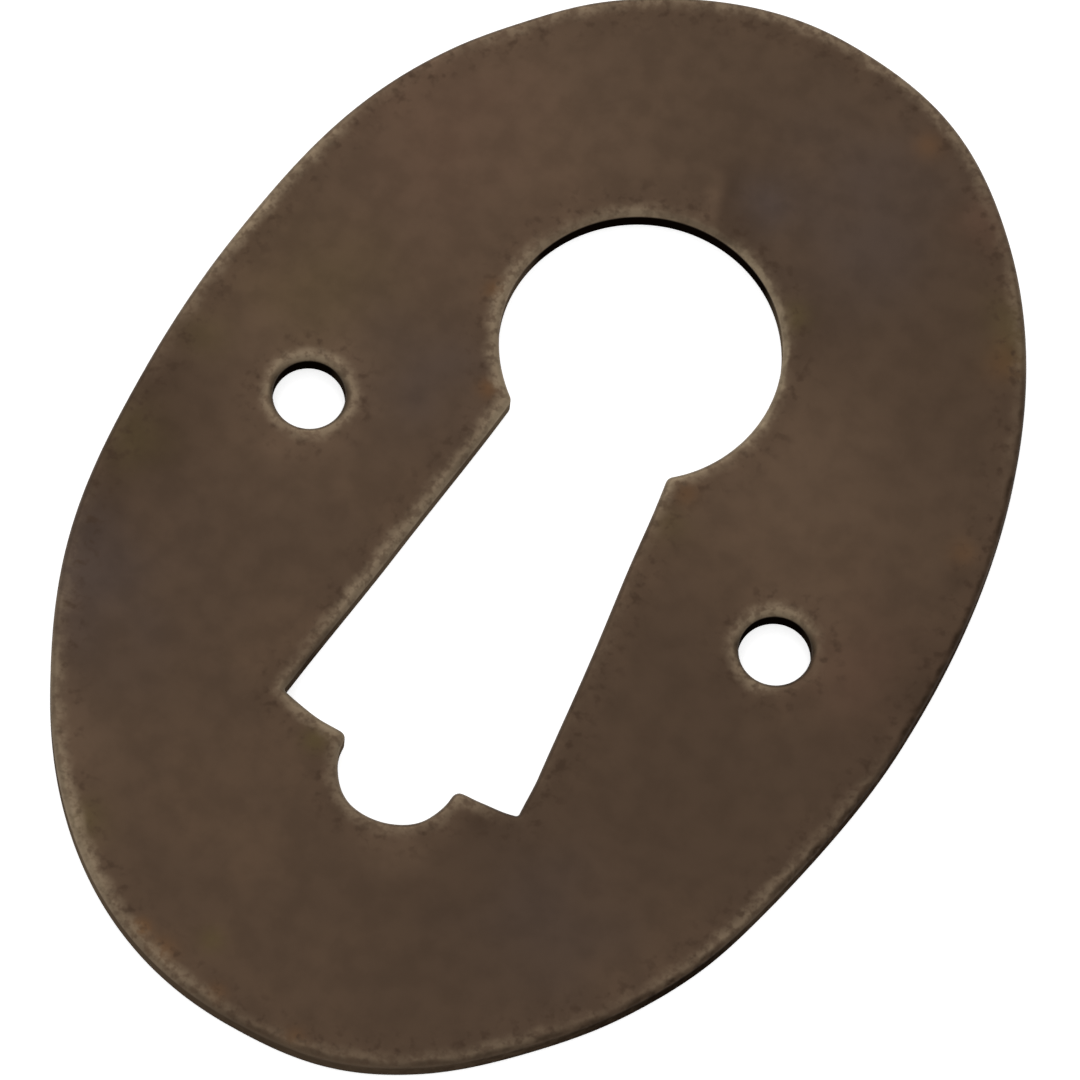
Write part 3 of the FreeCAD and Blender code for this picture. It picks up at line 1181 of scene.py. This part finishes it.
@dataclass(frozen=True)
class Studio:
    """A pale floor, plain soft light, and the white round them.

    Args:
        floor_side: Side of the square floor, in metres.
        floor_drop: How far it lies under the plate's back.
        floor_colour: Its colour.
        floor_lift: White that the floor gives the camera, on top of the light that falls on it.
        ambient: Strength of the light from all round.
        key_power: Power of the large lamp, in watts.
    """

    floor_side: float = 1.2
    floor_drop: float = 0.02 * MM
    floor_colour: Colour = (0.9, 0.9, 0.9, 1.0)
    floor_lift: float = 0.63
    ambient: float = 0.75
    key_power: float = 1.2

    def build_floor(self) -> bpy.types.Object:
        """Lay the floor.

        Returns:
            The floor.
        """
        half = self.floor_side / 2
        mesh = bpy.data.meshes.new("studio_floor")
        corners = [(-half, -half), (half, -half), (half, half), (-half, half)]
        mesh.from_pydata([(x, y, -self.floor_drop) for x, y in corners], [], [(0, 1, 2, 3)])
        recipe = Recipe("studio_floor")
        recipe.shader.inputs["Base Color"].default_value = self.floor_colour
        recipe.shader.inputs["Roughness"].default_value = 1.0
        recipe.shader.inputs["Specular IOR Level"].default_value = 0.0
        recipe.shader.inputs["Emission Color"].default_value = (1, 1, 1, 1)
        path = recipe.add("ShaderNodeLightPath").outputs
        mirrored = recipe.join("MAXIMUM", path["Is Glossy Ray"], path["Is Transmission Ray"])
        seen = recipe.join("MAXIMUM", path["Is Camera Ray"], mirrored)
        lift = recipe.join("MULTIPLY", seen, self.floor_lift)
        recipe.feed(recipe.shader.inputs["Emission Strength"], lift)
        mesh.materials.append(recipe.material)
        floor = bpy.data.objects.new("studio_floor", mesh)
        bpy.context.scene.collection.objects.link(floor)
        return floor

    def light_world(self) -> None:
        """Light the scene evenly from all round, and show white behind it."""
        world = bpy.data.worlds.new("studio")
        world.use_nodes = True
        nodes, links = world.node_tree.nodes, world.node_tree.links
        nodes.clear()
        glow = nodes.new("ShaderNodeBackground")
        glow.inputs["Strength"].default_value = self.ambient
        white = nodes.new("ShaderNodeBackground")
        path = nodes.new("ShaderNodeLightPath").outputs
        either = nodes.new("ShaderNodeMath")
        either.operation = "MAXIMUM"
        links.new(path["Is Camera Ray"], either.inputs[0])
        links.new(path["Is Glossy Ray"], either.inputs[1])
        mix = nodes.new("ShaderNodeMixShader")
        output = nodes.new("ShaderNodeOutputWorld")
        links.new(either.outputs["Value"], mix.inputs["Fac"])
        links.new(glow.outputs["Background"], mix.inputs[1])
        links.new(white.outputs["Background"], mix.inputs[2])
        links.new(mix.outputs["Shader"], output.inputs["Surface"])
        glow.inputs["Color"].default_value = (1, 1, 1, 1)
        white.inputs["Color"].default_value = (1, 1, 1, 1)
        bpy.context.scene.world = world

    def hang_lamp(self, name: str, place: Vector, side: float, power: float) -> None:
        """Hang a square lamp that looks at the plate.

        Args:
            name: The lamp's name.
            place: Where it hangs, in metres.
            side: Side of its panel, in metres.
            power: Its power, in watts.
        """
        lamp = bpy.data.lights.new(name, "AREA")
        lamp.size = side
        lamp.energy = power
        hung = bpy.data.objects.new(name, lamp)
        hung.location = place
        hung.rotation_euler = (-place).to_track_quat("-Z", "Y").to_euler()
        bpy.context.scene.collection.objects.link(hung)

    def build(self) -> None:
        """Lay the floor and set the lights."""
        self.build_floor()
        self.light_world()
        self.hang_lamp("key_lamp", Vector((-0.35, 0.45, 0.6)), 0.4, self.key_power)


@dataclass(frozen=True)
class PhotoCamera:
    """The camera, which looks down on the plate from the photograph's angle.

    Args:
        azimuth: Where it stands round the plate, in degrees from behind -Y towards +X.
        elevation: Its height above the horizon, in degrees.
        roll: How far its top leans to its left, in degrees.
        distance: From the plate, in metres.
        aim_height: Height of the plane that it is aimed at.
        aside: Where on that plane the middle of the view lies, to its right and up, in metres.
        lens: Focal length on a 36 mm sensor, in millimetres.
    """

    azimuth: float = 23.84
    elevation: float = 68.17
    roll: float = 6.51
    distance: float = 434.72 * MM
    aim_height: float = 0.62 * MM
    aside: tuple[float, float] = (-0.042 * MM, -0.525 * MM)
    lens: float = 469.5

    def build(self) -> None:
        """Make the camera and look through it."""
        turn, rise, lean = (math.radians(a) for a in (self.azimuth, self.elevation, self.roll))
        back = Vector((math.sin(turn) * math.cos(rise), -math.cos(turn) * math.cos(rise), math.sin(rise)))
        level = Vector((math.cos(turn), math.sin(turn), 0))
        right = level * math.cos(lean) + back.cross(level) * math.sin(lean)
        up = back.cross(right)
        aim = Vector((0, 0, self.aim_height)) + right * self.aside[0] + up * self.aside[1]
        lens = bpy.data.cameras.new("photo_camera")
        lens.lens = self.lens
        lens.clip_start = self.distance / 10
        lens.clip_end = self.distance * 10
        camera = bpy.data.objects.new("photo_camera", lens)
        turned = Matrix((right, up, back)).transposed().to_4x4()
        camera.matrix_world = Matrix.Translation(aim + back * self.distance) @ turned
        bpy.context.scene.collection.objects.link(camera)
        bpy.context.scene.camera = camera


def plate_from_frame() -> EscutcheonPlate:
    """Size the plate from the solid that it stands in for, and from that solid's mounts.

    Returns:
        The plate.
    """
    low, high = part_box(CAD_NODE)
    width, height, thickness = (high - low) / MM
    mounts = {mount["name"]: mount for mount in frame["record"]["mounts"]}
    head, pins = mounts["key_head"], mounts["pin_holes"]
    head_x, head_y, _ = head["pos_m"]
    spacing = pins["dims"]["spacing_x_mm"]
    radius = pins["dims"]["hole_r_mm"]
    return EscutcheonPlate(
        blank=OvalBlank(width, height),
        keyhole=KeyholePunch(complex(head_x, head_y) / MM, head["dims"]["r_mm"]),
        pins=tuple(PinHole(complex(side * spacing / 2, 0), radius) for side in (-1, 1)),
        section=EdgeSection(thickness),
    )


def main() -> None:
    """Build the studio, the camera and the plate, and report each."""
    logging.basicConfig(level=logging.INFO, format="%(message)s")
    bpy.context.scene.view_settings.view_transform = "Standard"
    Studio().build()
    log.info("studio: floor and lights are set")
    PhotoCamera().build()
    log.info("camera: aimed at the plate")
    maker = plate_from_frame()
    plate = maker.build()
    maker.dress(plate)
    log.info("%s: %d points, %d facets", plate.name, len(plate.data.vertices), len(plate.data.polygons))


if __name__ == "__main__":
    main()
